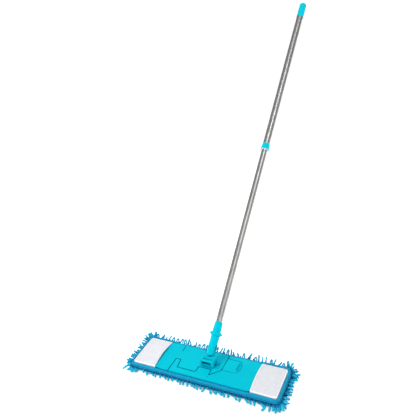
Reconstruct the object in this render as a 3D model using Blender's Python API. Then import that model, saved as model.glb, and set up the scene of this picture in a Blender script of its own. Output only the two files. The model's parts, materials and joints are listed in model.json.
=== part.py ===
"""A flat mop: a telescopic pole, a two-way swivel and a folding plate that carries a chenille pad.

Metres, +Z up. The origin is on the floor under the middle of the plate. +X runs along the plate and
+Y is the side that the pole leans to. Pieces of the pole are modelled along their own +Z and hang on an
empty that leans with the pole; there s is the distance up the pole from the tilt hinge.
"""

import math

import bmesh
import bpy
from mathutils import Matrix, Vector

MM = 0.001
GAP = 0.3 * MM  # between pieces that rest on each other
STEPS = 32  # sides of a round piece

# The plate
PLATE_LENGTH = 396 * MM
PLATE_WIDTH = 100 * MM
POCKET_WIDTH = 97.4 * MM  # the plate is a little narrower inside the pad's pockets
PLATE_CORNER = 14 * MM
PLATE_BOTTOM = 11 * MM
PLATE_TOP = 20 * MM
LEVEL = 16 * MM  # the arms of the two wings lie over each other's floors at this height
SEAM = 2.1 * MM  # the gap between the wings where it shows on top
RIB = 2.2 * MM
SKIN = 2.4 * MM

# The fold between the wings
FOLD_HEIGHT = 13.5 * MM
FOLD_KNUCKLE = 2.2 * MM
FOLD_CLEAR = 2.8 * MM  # each wing's floor starts this far from the fold's axis
FOLD_PIN = 1.0 * MM
RIB_ROWS = [-47 * MM, -15.7 * MM, 15.7 * MM, 47 * MM]
KNUCKLE_ENDS = [-48 * MM, -29 * MM, -10 * MM, 10 * MM, 29 * MM, 48 * MM]

# The release tab on the right wing
TAB_LOW = Vector((40.7, -5.4, 0)) * MM
TAB_HIGH = Vector((84.0, 38.0, 0)) * MM
TAB_CORNER = 15 * MM
TAB_SKIN = 2.3 * MM
TAB_GAP = 1.1 * MM
TAB_AXIS = Vector((60, 0, 15.6)) * MM
TAB_FLOOR = 13 * MM
TAB_PIN = 1.0 * MM

# The swivel
LEAN = math.radians(51.35)  # of the pole from upright
TILT_AXIS = Vector((0, 9, 32.9)) * MM
TILT_BARREL = 7.8 * MM
TILT_PIN = 3.0 * MM
SWING_S = 18 * MM
TONGUE = 4.8 * MM  # half the thickness of the swivel's tongue
WALL_IN = 12.6 * MM
STUDS = [(-22.3 * MM, 12.5 * MM), (22.3 * MM, 12.5 * MM)]
WALL_OUT = 17 * MM
LIP_FRONT = -8 * MM
LIP_TOP = 39.6 * MM
LIP_BOTTOM = 35.6 * MM
SILL = 26.6 * MM  # the opening under the lip starts here
SWING_PIN = 3.0 * MM

# The socket and the pole, by s
SOCKET_RADIUS = 11.7 * MM
FORK_RADIUS = 12.1 * MM
SLOT_TOP = 38 * MM
SOCKET_TOP = 60 * MM
WING_RING_TOP = 73 * MM
WING_RING_TURN = math.radians(24)
FERRULE_TOP = 98 * MM
INNER_TUBE = 9.5 * MM  # radius
OUTER_TUBE = 11.0 * MM
TUBE_WALL = 0.8 * MM
INNER_TUBE_TOP = 723 * MM
COLLAR_BOTTOM = 656 * MM
COLLAR_TOP = 677 * MM
OUTER_TUBE_TOP = 1273 * MM
CAP_BOTTOM = 1230 * MM
CAP_TOP = 1299.3 * MM
EYE_S = CAP_TOP - 12.5 * MM
EYE_RADIUS = 4 * MM
CAM_OFFSET = 0.8 * MM

# The pad
PILE_HALF = Vector((226, 76, 0)) * MM
PILE_TOP = 8.4 * MM
BACKING_HALF = Vector((209, 58, 0)) * MM
BACKING_TOP = 10.7 * MM
HEM_HALF = Vector((211, 60, 0)) * MM
HEM_INSIDE = Vector((201.3, 51.3, 0)) * MM
HEM_TOP = 18.3 * MM
POCKET_START = 133 * MM
POCKET_END = 200.5 * MM
POCKET_HALF = 50.6 * MM
POCKET_TOP = 21.3 * MM
CLOTH = 1.0 * MM


# ---------------------------------------------------------------- tools


def clear_scene():
    for old in list(bpy.data.objects):
        bpy.data.objects.remove(old, do_unlink=True)


def material(name, color, roughness, metallic=0.0):
    m = bpy.data.materials.new(name)
    m.use_nodes = True
    shader = m.node_tree.nodes["Principled BSDF"]
    shader.inputs["Base Color"].default_value = (*color, 1.0)
    shader.inputs["Roughness"].default_value = roughness
    shader.inputs["Metallic"].default_value = metallic
    m.diffuse_color = (*color, 1.0)
    return m


def empty(name, location=(0, 0, 0), lean=0.0, parent=None):
    e = bpy.data.objects.new(name, None)
    bpy.context.collection.objects.link(e)
    e.location = location
    e.rotation_euler = (-lean, 0, 0)
    e.parent = parent
    return e


def add(name, bm, look=None, parent=None, location=(0, 0, 0), smooth=None):
    """Turns bm into an object. Without a look it is a guide for a Boolean and isn't part of the model."""
    bmesh.ops.recalc_face_normals(bm, faces=bm.faces)
    mesh = bpy.data.meshes.new(name)
    bm.to_mesh(mesh)
    bm.free()
    o = bpy.data.objects.new(name, mesh)
    bpy.context.collection.objects.link(o)
    o.parent = parent
    o.location = location
    if look is None:
        o.hide_render = True
        o.display_type = "WIRE"
    else:
        mesh.materials.append(look)
    if smooth is not None:
        mesh.shade_smooth()
        mesh.set_sharp_from_angle(angle=math.radians(smooth))
    return o


def boolean(o, operation, bm, parent=None, location=(0, 0, 0)):
    """Cuts bm out of o, or unites it with o, by a modifier with its guide."""
    guide = add(f"{o.name}.guide", bm, parent=parent or o.parent, location=location)
    m = o.modifiers.new(operation.lower(), "BOOLEAN")
    m.operation = operation
    m.solver = "EXACT"
    m.object = guide


def cut(o, bm, **place):
    boolean(o, "DIFFERENCE", bm, **place)


def unite(o, bm, **place):
    boolean(o, "UNION", bm, **place)


def block(low, high):
    bm = bmesh.new()
    bmesh.ops.create_cube(bm, size=1)
    low, high = Vector(low), Vector(high)
    for v in bm.verts:
        v.co = Vector((low[i] + (v.co[i] + 0.5) * (high[i] - low[i]) for i in range(3)))
    return bm


def loft(levels):
    """A solid through closed outlines with the same number of points: levels is [(outline, z), ...]."""
    bm = bmesh.new()
    rings = [[bm.verts.new((p[0], p[1], z)) for p in outline] for outline, z in levels]
    count = len(rings[0])
    for low, high in zip(rings, rings[1:]):
        for i in range(count):
            j = (i + 1) % count
            bm.faces.new((low[i], low[j], high[j], high[i]))
    bm.faces.new(rings[0][::-1])
    bm.faces.new(rings[-1])
    return bm


def prism(outline, low, high):
    return loft([(outline, low), (outline, high)])


def prism_along_x(outline, low, high):
    """An outline of (y, z) points, extruded along X."""
    bm = prism(outline, low, high)
    turn = Matrix(((0, 0, 1, 0), (1, 0, 0, 0), (0, 1, 0, 0), (0, 0, 0, 1)))
    bmesh.ops.transform(bm, matrix=turn, verts=bm.verts)
    return bm


def rod(radius, low, high, axis="Z", at=(0, 0, 0), steps=STEPS):
    """A cylinder from low to high along an axis, through the point at."""
    bm = bmesh.new()
    spin = Matrix.Identity(4)
    if axis == "X":
        spin = Matrix.Rotation(math.pi / 2, 4, "Y")
    if axis == "Y":
        spin = Matrix.Rotation(-math.pi / 2, 4, "X")
    place = Matrix.Translation(at) @ spin @ Matrix.Translation((0, 0, (low + high) / 2))
    bmesh.ops.create_cone(
        bm, cap_ends=True, segments=steps, radius1=radius, radius2=radius, depth=high - low, matrix=place
    )
    return bm


def turned(profile, steps=STEPS):
    """A solid of revolution about Z from a closed profile of (radius, z) points."""
    bm = bmesh.new()
    verts = [bm.verts.new((r, 0, z)) for r, z in profile]
    edges = [bm.edges.new((a, b)) for a, b in zip(verts, verts[1:] + verts[:1])]
    full = {"angle": 2 * math.pi, "steps": steps, "use_merge": True}
    bmesh.ops.spin(bm, geom=verts + edges, cent=(0, 0, 0), axis=(0, 0, 1), **full)
    bmesh.ops.remove_doubles(bm, verts=bm.verts, dist=1e-6)
    bmesh.ops.dissolve_degenerate(bm, edges=bm.edges, dist=1e-6)
    return bm


def arc(center, radius, start, end, count):
    """Points along a circle, with the angles in degrees."""
    angles = [math.radians(start + (end - start) * i / count) for i in range(count + 1)]
    return [(center[0] + radius * math.cos(a), center[1] + radius * math.sin(a)) for a in angles]


def rounded(corners, closed=False, count=5):
    """A path through corners of (x, y, radius), each replaced by an arc of that radius."""
    path = []
    for i, (x, y, r) in enumerate(corners):
        at = Vector((x, y))
        if r == 0 or (not closed and i in (0, len(corners) - 1)):
            path.append((x, y))
            continue
        back = (Vector(corners[i - 1][:2]) - at).normalized()
        on = (Vector(corners[(i + 1) % len(corners)][:2]) - at).normalized()
        half = back.angle(on) / 2
        middle = at + (back + on).normalized() * (r / math.sin(half))
        first = at + back * (r / math.tan(half)) - middle
        last = at + on * (r / math.tan(half)) - middle
        turn = first.angle_signed(last)
        for k in range(count + 1):
            p = first.copy()
            p.rotate(Matrix.Rotation(-turn * k / count, 2))
            path.append(tuple(middle + p))
    return path


def beside(path, distance):
    """The path moved to its left by distance."""
    moved = []
    for i, p in enumerate(path):
        p = Vector(p)
        before = (p - Vector(path[i - 1])).normalized() if i else None
        after = (Vector(path[i + 1]) - p).normalized() if i < len(path) - 1 else None
        before = before or after
        after = after or before
        mid = (before + after).normalized()
        moved.append(tuple(p + Vector((-mid.y, mid.x)) * (distance / mid.dot(before))))
    return moved


def end_outline(start, end, half, radius, count=6):
    """The +X end of a rounded rectangle, from x = start to x = end."""
    low = arc((end - radius, -half + radius), radius, -90, 0, count)
    high = arc((end - radius, half - radius), radius, 0, 90, count)
    return [(start, -half), *low, *high, (start, half)]


def mirrored(bm):
    """The same solid on the other side of the plane X = 0."""
    bmesh.ops.scale(bm, vec=(-1, 1, 1), verts=bm.verts)
    bmesh.ops.reverse_faces(bm, faces=bm.faces)
    return bm


# ---------------------------------------------------------------- the plate


def seam_path():
    """Where the two wings meet on top, from the front edge to the back edge."""
    corners = [
        (-93.5, -60, 0),
        (-93.5, -4, 2),
        (-79, -4, 3.5),
        (-75.5, -33, 3),
        (-22, -33, 5),
        (-22, -13, 2),
        (14.5, -13, 2),
        (14.5, -33, 1),
        (38, -10, 4),
        (40, 0, 4),
        (40, 60, 0),
    ]
    return rounded([(x * MM, y * MM, r * MM) for x, y, r in corners], count=3)


def wing_blank(side):
    """One wing as a plain slab, full height, from the fold outwards."""
    half = PLATE_WIDTH / 2
    tucked = POCKET_WIDTH / 2
    end = PLATE_LENGTH / 2
    low = arc((end - PLATE_CORNER, -tucked + PLATE_CORNER), PLATE_CORNER, -90, 0, 5)
    high = arc((end - PLATE_CORNER, tucked - PLATE_CORNER), PLATE_CORNER, 0, 90, 5)
    step = POCKET_START - 4 * MM
    outline = [(FOLD_CLEAR, -half), (step, -half), (step + 2 * MM, -tucked), *low]
    outline += [*high, (step + 2 * MM, tucked), (step, half), (FOLD_CLEAR, half)]
    bm = prism(outline, PLATE_BOTTOM, PLATE_TOP)
    return bm if side > 0 else mirrored(bm)


def upper_region(side):
    """The top outline of everything left of the seam (-1) or right of it (1), the seam included."""
    path = beside(seam_path(), side * SEAM / 2)
    far = side * 220 * MM
    return [*path, (far, 60 * MM), (far, -60 * MM)]


def blocks(cells):
    """One bmesh of several separate blocks, each given by two opposite corners."""
    bm = bmesh.new()
    for low, high in cells:
        made = block(low, high)
        mesh = bpy.data.meshes.new("cell")
        made.to_mesh(mesh)
        made.free()
        bm.from_mesh(mesh)
        bpy.data.meshes.remove(mesh)
    return bm


def rib_cells(xs, ys, ceiling):
    """The hollows that leave a rib at every x and y of a grid on a wing's underside."""
    return [
        ((x0 + RIB / 2, y0 + RIB / 2, PLATE_BOTTOM - MM), (x1 - RIB / 2, y1 - RIB / 2, ceiling))
        for x0, x1 in zip(xs, xs[1:])
        for y0, y1 in zip(ys, ys[1:])
    ]


def fold_knuckles(wing, side):
    """Every second barrel of the fold, from one end, with the web that ties it to the wing."""
    first = 0 if side < 0 else 1
    for i in range(first, len(KNUCKLE_ENDS) - 1, 2):
        low, high = KNUCKLE_ENDS[i] + GAP, KNUCKLE_ENDS[i + 1] - GAP
        unite(wing, rod(FOLD_KNUCKLE, low, high, "Y", (0, 0, FOLD_HEIGHT), 16))
        x = sorted((0, side * (FOLD_CLEAR + MM)))
        web = block((x[0], low, FOLD_HEIGHT - 1.4 * MM), (x[1], high, FOLD_HEIGHT + 1.4 * MM))
        unite(wing, web)
    cut(wing, rod(FOLD_PIN + 0.25 * MM, -60 * MM, 60 * MM, "Y", (0, 0, FOLD_HEIGHT), 12))


def left_wing(look):
    """Carries the swivel. Its arm reaches over the right wing's floor up to the release tab."""
    wing = add("left_wing", wing_blank(-1), look)
    cut(wing, prism(upper_region(1), LEVEL - GAP, PLATE_TOP + MM))
    half = PLATE_WIDTH / 2
    edge = beside(seam_path(), SEAM / 2)
    edge = [edge[0], *[p for p in edge if p[0] > 8 * MM and p[1] < half]]
    front = edge[1][1]
    arm = [*edge[1:], (edge[-1][0], half), (-6 * MM, half), (-6 * MM, front)]
    unite(wing, prism(arm, LEVEL, PLATE_TOP))
    low = LEVEL - GAP - SKIN
    far = rib_cells([-195 * MM, -162 * MM, -129 * MM, -96 * MM], RIB_ROWS, PLATE_TOP - SKIN)
    near = rib_cells([-93 * MM, -63 * MM, -34 * MM, -4 * MM], RIB_ROWS, low)
    cut(wing, blocks(far + near))
    fold_knuckles(wing, -1)
    cut(wing, block((-91 * MM, 26 * MM, 18.4 * MM), (-89 * MM, 46 * MM, 21 * MM)))
    for x, y in STUDS:
        cut(wing, rod(1.3 * MM, LEVEL + MM, PLATE_TOP + MM, at=(x, y, 0), steps=12))
    return wing


def right_wing(look):
    """Holds the release tab. Its arm reaches along the front over the left wing's floor."""
    wing = add("right_wing", wing_blank(1), look)
    cut(wing, prism(upper_region(-1), LEVEL - GAP, PLATE_TOP + MM))
    half = PLATE_WIDTH / 2
    edge = [p for p in beside(seam_path(), -SEAM / 2) if p[0] < 6 * MM and p[1] > -half]
    arm = [(edge[0][0], -half), *edge, (6 * MM, edge[-1][1]), (6 * MM, -half)]
    unite(wing, prism(arm, LEVEL, PLATE_TOP))
    cut(wing, prism(tab_outline(TAB_GAP), TAB_FLOOR, PLATE_TOP + MM))
    low = LEVEL - GAP - SKIN
    cells = rib_cells([96 * MM, 129 * MM, 162 * MM, 195 * MM], RIB_ROWS, PLATE_TOP - SKIN)
    cells += rib_cells([44 * MM, 96 * MM], [-48 * MM, -10 * MM], PLATE_TOP - SKIN)
    cells += rib_cells([4 * MM, 35 * MM], RIB_ROWS, low)
    cut(wing, blocks(cells))
    fold_knuckles(wing, 1)
    low, high = TAB_LOW.y - 4 * MM, TAB_HIGH.y + 4 * MM
    cut(wing, rod(TAB_PIN + 0.25 * MM, low, high, "Y", (TAB_AXIS.x, 0, TAB_AXIS.z), 12))
    cut(wing, rod(MM, PLATE_TOP - 1.5 * MM, PLATE_TOP + MM, at=(15 * MM, -40 * MM, 0), steps=12))
    return wing


def tab_outline(grow=0.0):
    """The release tab from above: straight on the left, rounded on the right."""
    middle, half = (TAB_LOW.y + TAB_HIGH.y) / 2, (TAB_HIGH.y - TAB_LOW.y) / 2
    left = TAB_LOW.x - (4 * MM if grow else 0)
    outline = end_outline(left, TAB_HIGH.x + grow, half + grow, TAB_CORNER + grow, 8)
    return [(x, y + middle) for x, y in outline]


def release_tab(look, parent):
    """A rocking plate: pressing its ribbed end lifts the edge that holds the left wing's arm down."""
    tab = add("release_tab", prism(tab_outline(), PLATE_TOP - TAB_SKIN, PLATE_TOP), look, parent, -TAB_AXIS)
    here = {"location": -TAB_AXIS}
    low, high = TAB_LOW.y + 2 * MM, TAB_HIGH.y - 2 * MM
    unite(tab, rod(2.2 * MM, low, high, "Y", (TAB_AXIS.x, 0, TAB_AXIS.z), 16), **here)
    unite(tab, block((58.4 * MM, low, TAB_AXIS.z), (61.6 * MM, high, PLATE_TOP - MM)), **here)
    for i in range(3):
        x = (74.2 + 2.3 * i) * MM
        rib = block((x, 5 * MM, PLATE_TOP - MM), (x + 1.1 * MM, 31 * MM, PLATE_TOP + 0.8 * MM))
        unite(tab, rib, **here)
    cut(tab, rod(TAB_PIN + 0.25 * MM, low - MM, high + MM, "Y", (TAB_AXIS.x, 0, TAB_AXIS.z), 12), **here)
    return tab


def tab_spring(look):
    """A short coil spring of round wire under the tab's ribbed end."""
    turns, steps, sides = 3.0, 14, 6
    wire, radius = 0.35 * MM, 3.4 * MM
    low, high = TAB_FLOOR + 0.3 * MM + wire, PLATE_TOP - TAB_SKIN - 0.3 * MM - wire
    center = Vector((76.5 * MM, 16.3 * MM, 0))
    count = round(turns * steps)
    bm = bmesh.new()
    rings = []
    for i in range(count + 1):
        a = 2 * math.pi * i / steps
        out = Vector((math.cos(a), math.sin(a), 0))
        at = center + out * radius + Vector((0, 0, low + (high - low) * i / count))
        corners = [2 * math.pi * k / sides for k in range(sides)]
        up = Vector((0, 0, 1))
        rings.append([bm.verts.new(at + wire * (math.cos(t) * out + math.sin(t) * up)) for t in corners])
    for a, b in zip(rings, rings[1:]):
        for k in range(sides):
            j = (k + 1) % sides
            bm.faces.new((a[k], a[j], b[j], b[k]))
    bm.faces.new(rings[0][::-1])
    bm.faces.new(rings[-1])
    return add("tab_spring", bm, look, smooth=60)


def pins(steel):
    add("fold_pin", rod(FOLD_PIN, -47 * MM, 47 * MM, "Y", (0, 0, FOLD_HEIGHT), 12), steel, smooth=40)
    place = (TAB_AXIS.x, 0, TAB_AXIS.z)
    add("tab_pin", rod(TAB_PIN, TAB_LOW.y - 3 * MM, TAB_HIGH.y + 3 * MM, "Y", place, 12), steel, smooth=40)
    low, high = -16.3 * MM, 16.3 * MM
    add("tilt_pin", rod(TILT_PIN, low, high, "X", TILT_AXIS, 24), steel, smooth=40)


# ---------------------------------------------------------------- the swivel


def hub_bracket(look):
    """Two walls that hold the tilt pin, joined in front by a sill and a lip over an opening."""
    floor = PLATE_TOP + GAP
    back = TILT_AXIS.y + 10 * MM
    ear = arc((TILT_AXIS.y, TILT_AXIS.z), 8 * MM, -10, 123, 8)
    outline = [(LIP_FRONT, floor), (back, floor), *ear, (LIP_FRONT + 1.5 * MM, LIP_TOP)]
    outline += [(LIP_FRONT, LIP_TOP - 1.5 * MM)]
    bracket = add("hub_bracket", prism_along_x(outline, -WALL_OUT, WALL_OUT), look, smooth=35)
    inside = LIP_FRONT + 5.6 * MM
    cut(bracket, block((-WALL_IN, inside, floor - MM), (WALL_IN, 30 * MM, 60 * MM)))
    cut(bracket, block((-WALL_IN - 2.4 * MM, -20 * MM, SILL), (WALL_IN - 2 * MM, inside + MM, LIP_BOTTOM)))
    for side in (-1, 1):
        near, far = side * (WALL_OUT - 2 * MM), side * 26.5 * MM
        foot = [(near, 5 * MM), (far, 8 * MM), (far, 17 * MM), (near, 18.5 * MM)]
        unite(bracket, prism(foot, floor, floor + 2.2 * MM))
        brace = [(5.2 * MM, floor + MM), (7.4 * MM, floor + MM), (7.4 * MM, 30 * MM), (5.2 * MM, 30 * MM)]
        unite(bracket, prism_along_x(brace, *sorted((side * 16 * MM, side * 18.6 * MM))))
    for x, y in STUDS:
        cut(bracket, rod(1.9 * MM, floor - MM, floor + 4 * MM, at=(x, y, 0), steps=16))
    cut(bracket, rod(TILT_PIN + 0.2 * MM, -16.6 * MM, 16.6 * MM, "X", TILT_AXIS, 24))
    return bracket


def hub_studs(look):
    """Moulded studs that hold the bracket on the left wing."""
    head = PLATE_TOP + GAP + 2.2 * MM + GAP
    top = [(0, head + 1.2 * MM), (1.6 * MM, head + 1.0 * MM), (2.6 * MM, head + 0.4 * MM), (2.6 * MM, head)]
    shank = [(1.1 * MM, head), (1.1 * MM, LEVEL + 1.3 * MM), (0, LEVEL + 1.3 * MM)]
    for name, (x, y) in zip(("left", "right"), STUDS):
        add(f"hub_stud_{name}", turned([*top, *shank], 20), look, smooth=40, location=(x, y, 0))


def swivel_block(look, pole):
    """The barrel on the tilt pin with the tongue that the socket's fork straddles."""
    half = WALL_IN - GAP
    barrel = add("swivel_block", rod(TILT_BARREL, -half, half, "X", steps=28), look, pole, smooth=40)
    unite(barrel, block((-8.5 * MM, -TONGUE, 0), (8.5 * MM, TONGUE, SWING_S)))
    unite(barrel, rod(8.5 * MM, -TONGUE, TONGUE, "Y", (0, 0, SWING_S), 28))
    cut(barrel, rod(TILT_PIN + 0.2 * MM, -20 * MM, 20 * MM, "X", steps=24))
    cut(barrel, rod(SWING_PIN + 0.2 * MM, -20 * MM, 20 * MM, "Y", (0, 0, SWING_S), 24))
    return barrel


def handle_socket(look, swing):
    """A round socket for the ferrule over a fork for the swing pin. It hangs on the swing axis."""
    up = {"location": (0, 0, -SWING_S)}
    round_end = arc((0, SWING_S), 10 * MM, 180, 360, 14)
    fork = prism([*round_end, (10 * MM, 40 * MM), (-10 * MM, 40 * MM)], -16 * MM, 16 * MM)
    bmesh.ops.rotate(fork, matrix=Matrix.Rotation(math.pi / 2, 3, "X"), verts=fork.verts)
    socket = add("handle_socket", fork, look, swing, (0, 0, -SWING_S), smooth=35)
    boolean(socket, "INTERSECT", rod(FORK_RADIUS, 0, 50 * MM), **up)
    unite(socket, rod(SOCKET_RADIUS, 35 * MM, SOCKET_TOP), **up)
    slot = TONGUE + 0.4 * MM
    cut(socket, block((-20 * MM, -slot, 0), (20 * MM, slot, SLOT_TOP)), **up)
    cut(socket, rod(8.9 * MM, 43 * MM, 70 * MM, steps=28), **up)
    cut(socket, rod(SWING_PIN + 0.2 * MM, -20 * MM, 20 * MM, "Y", (0, 0, SWING_S), 24), **up)
    for side in (-1, 1):
        corner = [(side * 9.6 * MM, 7 * MM), (side * 14 * MM, 7 * MM), (side * 14 * MM, 12.6 * MM)]
        cut(socket, prism_along_x(corner, -20 * MM, 20 * MM), **up)
    return socket


def swing_pin(look, swing):
    add("swing_pin", rod(SWING_PIN, -11.6 * MM, 11.6 * MM, "Y", steps=24), look, swing, smooth=40)


# ---------------------------------------------------------------- the pole


def ferrule(look, pole):
    """A sleeve over the tube's lower end, whose spigot screws into the socket."""
    hole = INNER_TUBE + GAP
    spigot = [(6 * MM, 44 * MM), (8 * MM, 44 * MM), (8.6 * MM, 45 * MM), (8.6 * MM, SOCKET_TOP + GAP)]
    neck = [(10.9 * MM, SOCKET_TOP + GAP), (10.9 * MM, WING_RING_TOP), (11.5 * MM, WING_RING_TOP)]
    sleeve = [
        (11.4 * MM, 83 * MM),
        (11.2 * MM, 83.6 * MM),
        (10.8 * MM, FERRULE_TOP - 2.6 * MM),
        (10.1 * MM, FERRULE_TOP),
        (hole, FERRULE_TOP),
        (hole, 61.7 * MM),
        (6 * MM, 61.7 * MM),
    ]
    return add("ferrule", turned([*spigot, *neck, *sleeve]), look, pole, smooth=35)


def wing_ring(look, pole):
    """The ring under the sleeve, with two pointed wings to turn it by."""
    low, high = SOCKET_TOP + 2 * GAP, WING_RING_TOP - GAP
    profile = [
        (11.2 * MM, low),
        (12.0 * MM, low),
        (12.6 * MM, low + 1.2 * MM),
        (12.6 * MM, high - 1.2 * MM),
        (12.0 * MM, high),
        (11.2 * MM, high),
    ]
    holder = empty("wing_ring_turn", parent=pole)
    holder.rotation_euler = (0, 0, WING_RING_TURN)
    ring = add("wing_ring", turned(profile), look, holder, smooth=35)
    middle = (low + high) / 2
    for side in (-1, 1):
        tip = [
            (side * 12 * MM, middle - 4.6 * MM),
            (side * 17 * MM, middle - 0.6 * MM),
            (side * 17 * MM, middle + 1.2 * MM),
            (side * 12 * MM, middle + 4.6 * MM),
        ]
        bm = prism(tip if side > 0 else tip[::-1], -2.2 * MM, 2.2 * MM)
        bmesh.ops.rotate(bm, matrix=Matrix.Rotation(math.pi / 2, 3, "X"), verts=bm.verts)
        unite(ring, bm, parent=holder)
    return ring


def tube(name, radius, low, high, look, pole):
    inner = radius - TUBE_WALL
    lip = 0.25 * MM
    profile = [
        (inner, low),
        (radius - lip, low),
        (radius, low + lip),
        (radius, high - lip),
        (radius - lip, high),
        (inner, high),
    ]
    return add(name, turned(profile), look, pole, smooth=35)


def lock_collar(look, pole):
    """The moulded collar on the outer tube's mouth."""
    mouth = COLLAR_BOTTOM + 7.2 * MM
    profile = [
        (11.9 * MM, COLLAR_BOTTOM),
        (12.9 * MM, COLLAR_BOTTOM),
        (13.3 * MM, COLLAR_BOTTOM + 0.8 * MM),
        (13.3 * MM, COLLAR_BOTTOM + 5 * MM),
        (12.9 * MM, COLLAR_BOTTOM + 6 * MM),
        (12.3 * MM, COLLAR_TOP - 7 * MM),
        (12.0 * MM, COLLAR_TOP - 2 * MM),
        (11.5 * MM, COLLAR_TOP),
        (OUTER_TUBE + GAP, COLLAR_TOP),
        (OUTER_TUBE + GAP, mouth),
        (11.9 * MM, mouth),
    ]
    return add("lock_collar", turned(profile), look, pole, smooth=35)


def guide_bush(look, pole):
    """The pale bush in the collar's mouth that the inner tube slides through."""
    low, high = COLLAR_BOTTOM - 1.4 * MM, COLLAR_BOTTOM + 6.5 * MM
    hole = INNER_TUBE + GAP
    profile = [(hole, low), (10.9 * MM, low), (11.6 * MM, low + 0.7 * MM), (11.6 * MM, high), (hole, high)]
    return add("guide_bush", turned(profile), look, pole, smooth=35)


def end_cap(look, pole):
    """The cap on the pole's top, with a rounded head and an eye to hang it by."""
    hole = OUTER_TUBE + GAP
    neck = CAP_TOP - 22.5 * MM
    dome = arc((0, CAP_TOP - 12.3 * MM), 12.3 * MM, -26, 84, 8)
    profile = [
        (hole, CAP_BOTTOM),
        (11.9 * MM, CAP_BOTTOM),
        (12.1 * MM, CAP_BOTTOM + 0.6 * MM),
        (12.0 * MM, neck - 2.5 * MM),
        (11.3 * MM, neck),
        *dome,
        (0, CAP_TOP),
        (0, OUTER_TUBE_TOP + 0.5 * MM),
        (hole, OUTER_TUBE_TOP + 0.5 * MM),
    ]
    cap = add("end_cap", turned(profile), look, pole, smooth=40)
    cut(cap, rod(EYE_RADIUS, -20 * MM, 20 * MM, "X", (0, 0, EYE_S), 24))
    return cap


def twist_lock(nylon, white, pole):
    """The eccentric core fixed in the inner tube, the split ring that it spreads, and an end disc."""
    base, top = INNER_TUBE_TOP, INNER_TUBE_TOP + 25 * MM
    plug = [(0, base - 23 * MM), (7.9 * MM, base - 23 * MM)]
    plug += [(8.4 * MM, base - 22 * MM), (8.4 * MM, base + GAP)]
    flange = [(9.4 * MM, base + GAP), (9.4 * MM, base + 3 * MM), (0, base + 3 * MM)]
    core = add("cam_core", turned([*plug, *flange], 24), nylon, pole, smooth=35)
    unite(core, rod(4 * MM, base + 2 * MM, top, "Z", (CAM_OFFSET, 0, 0), 24))
    disc = [(0, top + GAP), (8.6 * MM, top + GAP), (9.2 * MM, top + 0.9 * MM), (9.2 * MM, top + 2.4 * MM)]
    disc += [(8.4 * MM, top + 3.4 * MM), (0, top + 3.4 * MM)]
    add("cam_disc", turned(disc, 24), nylon, pole, smooth=35)
    low, high = base + 3.3 * MM, top - 0.1 * MM
    ring = [(5.3 * MM, low), (9.3 * MM, low), (9.9 * MM, low + MM), (9.9 * MM, high - MM), (9.3 * MM, high)]
    split = add("grip_ring", turned([*ring, (5.3 * MM, high)], 28), white, pole, smooth=35)
    cut(split, block((-1.3 * MM, 2 * MM, low - MM), (1.3 * MM, 12 * MM, high + MM)))


# ---------------------------------------------------------------- the pad


def fold_cut(z):
    """Half the width of the gap that the pad leaves under the fold, at height z."""
    return FOLD_HEIGHT - z


def pad_half(name, look, side, half, corner, levels):
    """One half of a pad layer: levels is [(z, how far the outline stands inside the layer's edge), ...]."""
    outlines = []
    for z, inset in levels:
        start = fold_cut(z) + GAP
        outlines.append((end_outline(start, half.x - inset, half.y - inset, corner - inset, 5), z))
    bm = loft(outlines)
    return add(name, bm if side > 0 else mirrored(bm), look, smooth=50)


def hem(name, look, side):
    """The rolled edge around one half of the pad."""
    levels = []
    start = FOLD_CLEAR + GAP
    for z, inset in ((BACKING_TOP + GAP, 1.2), (12.8 * MM, 0), (16.6 * MM, 0), (HEM_TOP, 1.8)):
        inset *= MM
        outer = end_outline(start, HEM_HALF.x - inset, HEM_HALF.y - inset, 12 * MM, 5)
        inner = end_outline(start, HEM_INSIDE.x + inset / 2, HEM_INSIDE.y + inset / 2, 4 * MM, 5)
        levels.append((outer + inner[::-1], z))
    bm = loft(levels)
    return add(name, bm if side > 0 else mirrored(bm), look, smooth=50)


def pocket(name, look, side):
    """The cloth pocket over one end of the plate, open towards the fold and sewn down all round."""
    base = BACKING_TOP + GAP
    outer = end_outline(POCKET_START, POCKET_END, POCKET_HALF, 9 * MM, 5)
    top = end_outline(POCKET_START, POCKET_END - 1.2 * MM, POCKET_HALF - 1.2 * MM, 9 * MM, 5)
    shell = loft([(outer, base), (outer, POCKET_TOP - 1.4 * MM), (top, POCKET_TOP)])
    end, half = POCKET_END - CLOTH - 0.8 * MM, POCKET_HALF - CLOTH - 0.5 * MM
    inside = end_outline(POCKET_START - 5 * MM, end, half, 10 * MM, 5)
    hollow = prism(inside, base - MM, POCKET_TOP - CLOTH)
    if side < 0:
        shell, hollow = mirrored(shell), mirrored(hollow)
    o = add(name, shell, look, smooth=50)
    cut(o, hollow)
    return o


def pad_fold(look):
    """The pad's soft middle, which crumples when the plate folds."""
    high = BACKING_TOP
    half = BACKING_HALF.y
    outline = [(-fold_cut(0), 0), (fold_cut(0), 0), (fold_cut(high), high), (-fold_cut(high), high)]
    bm = prism([(x, z) for x, z in outline], -half, half)
    bmesh.ops.rotate(bm, matrix=Matrix.Rotation(math.pi / 2, 3, "X"), verts=bm.verts)
    return add("pad_fold", bm, look)


def pad(pile, cloth, white, trim):
    for name, side in (("left", -1), ("right", 1)):
        levels = [(0, 5 * MM), (2.4 * MM, 1 * MM), (5 * MM, 0), (PILE_TOP, 5 * MM)]
        pad_half(f"pile_{name}", pile, side, PILE_HALF, 22 * MM, levels)
        backing = [(PILE_TOP + GAP, 0), (BACKING_TOP, 0)]
        pad_half(f"backing_{name}", cloth, side, BACKING_HALF, 12 * MM, backing)
        hem(f"hem_{name}", trim, side)
        pocket(f"pocket_{name}", white, side)
    pad_fold(pile)


# ---------------------------------------------------------------- the mop


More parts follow.
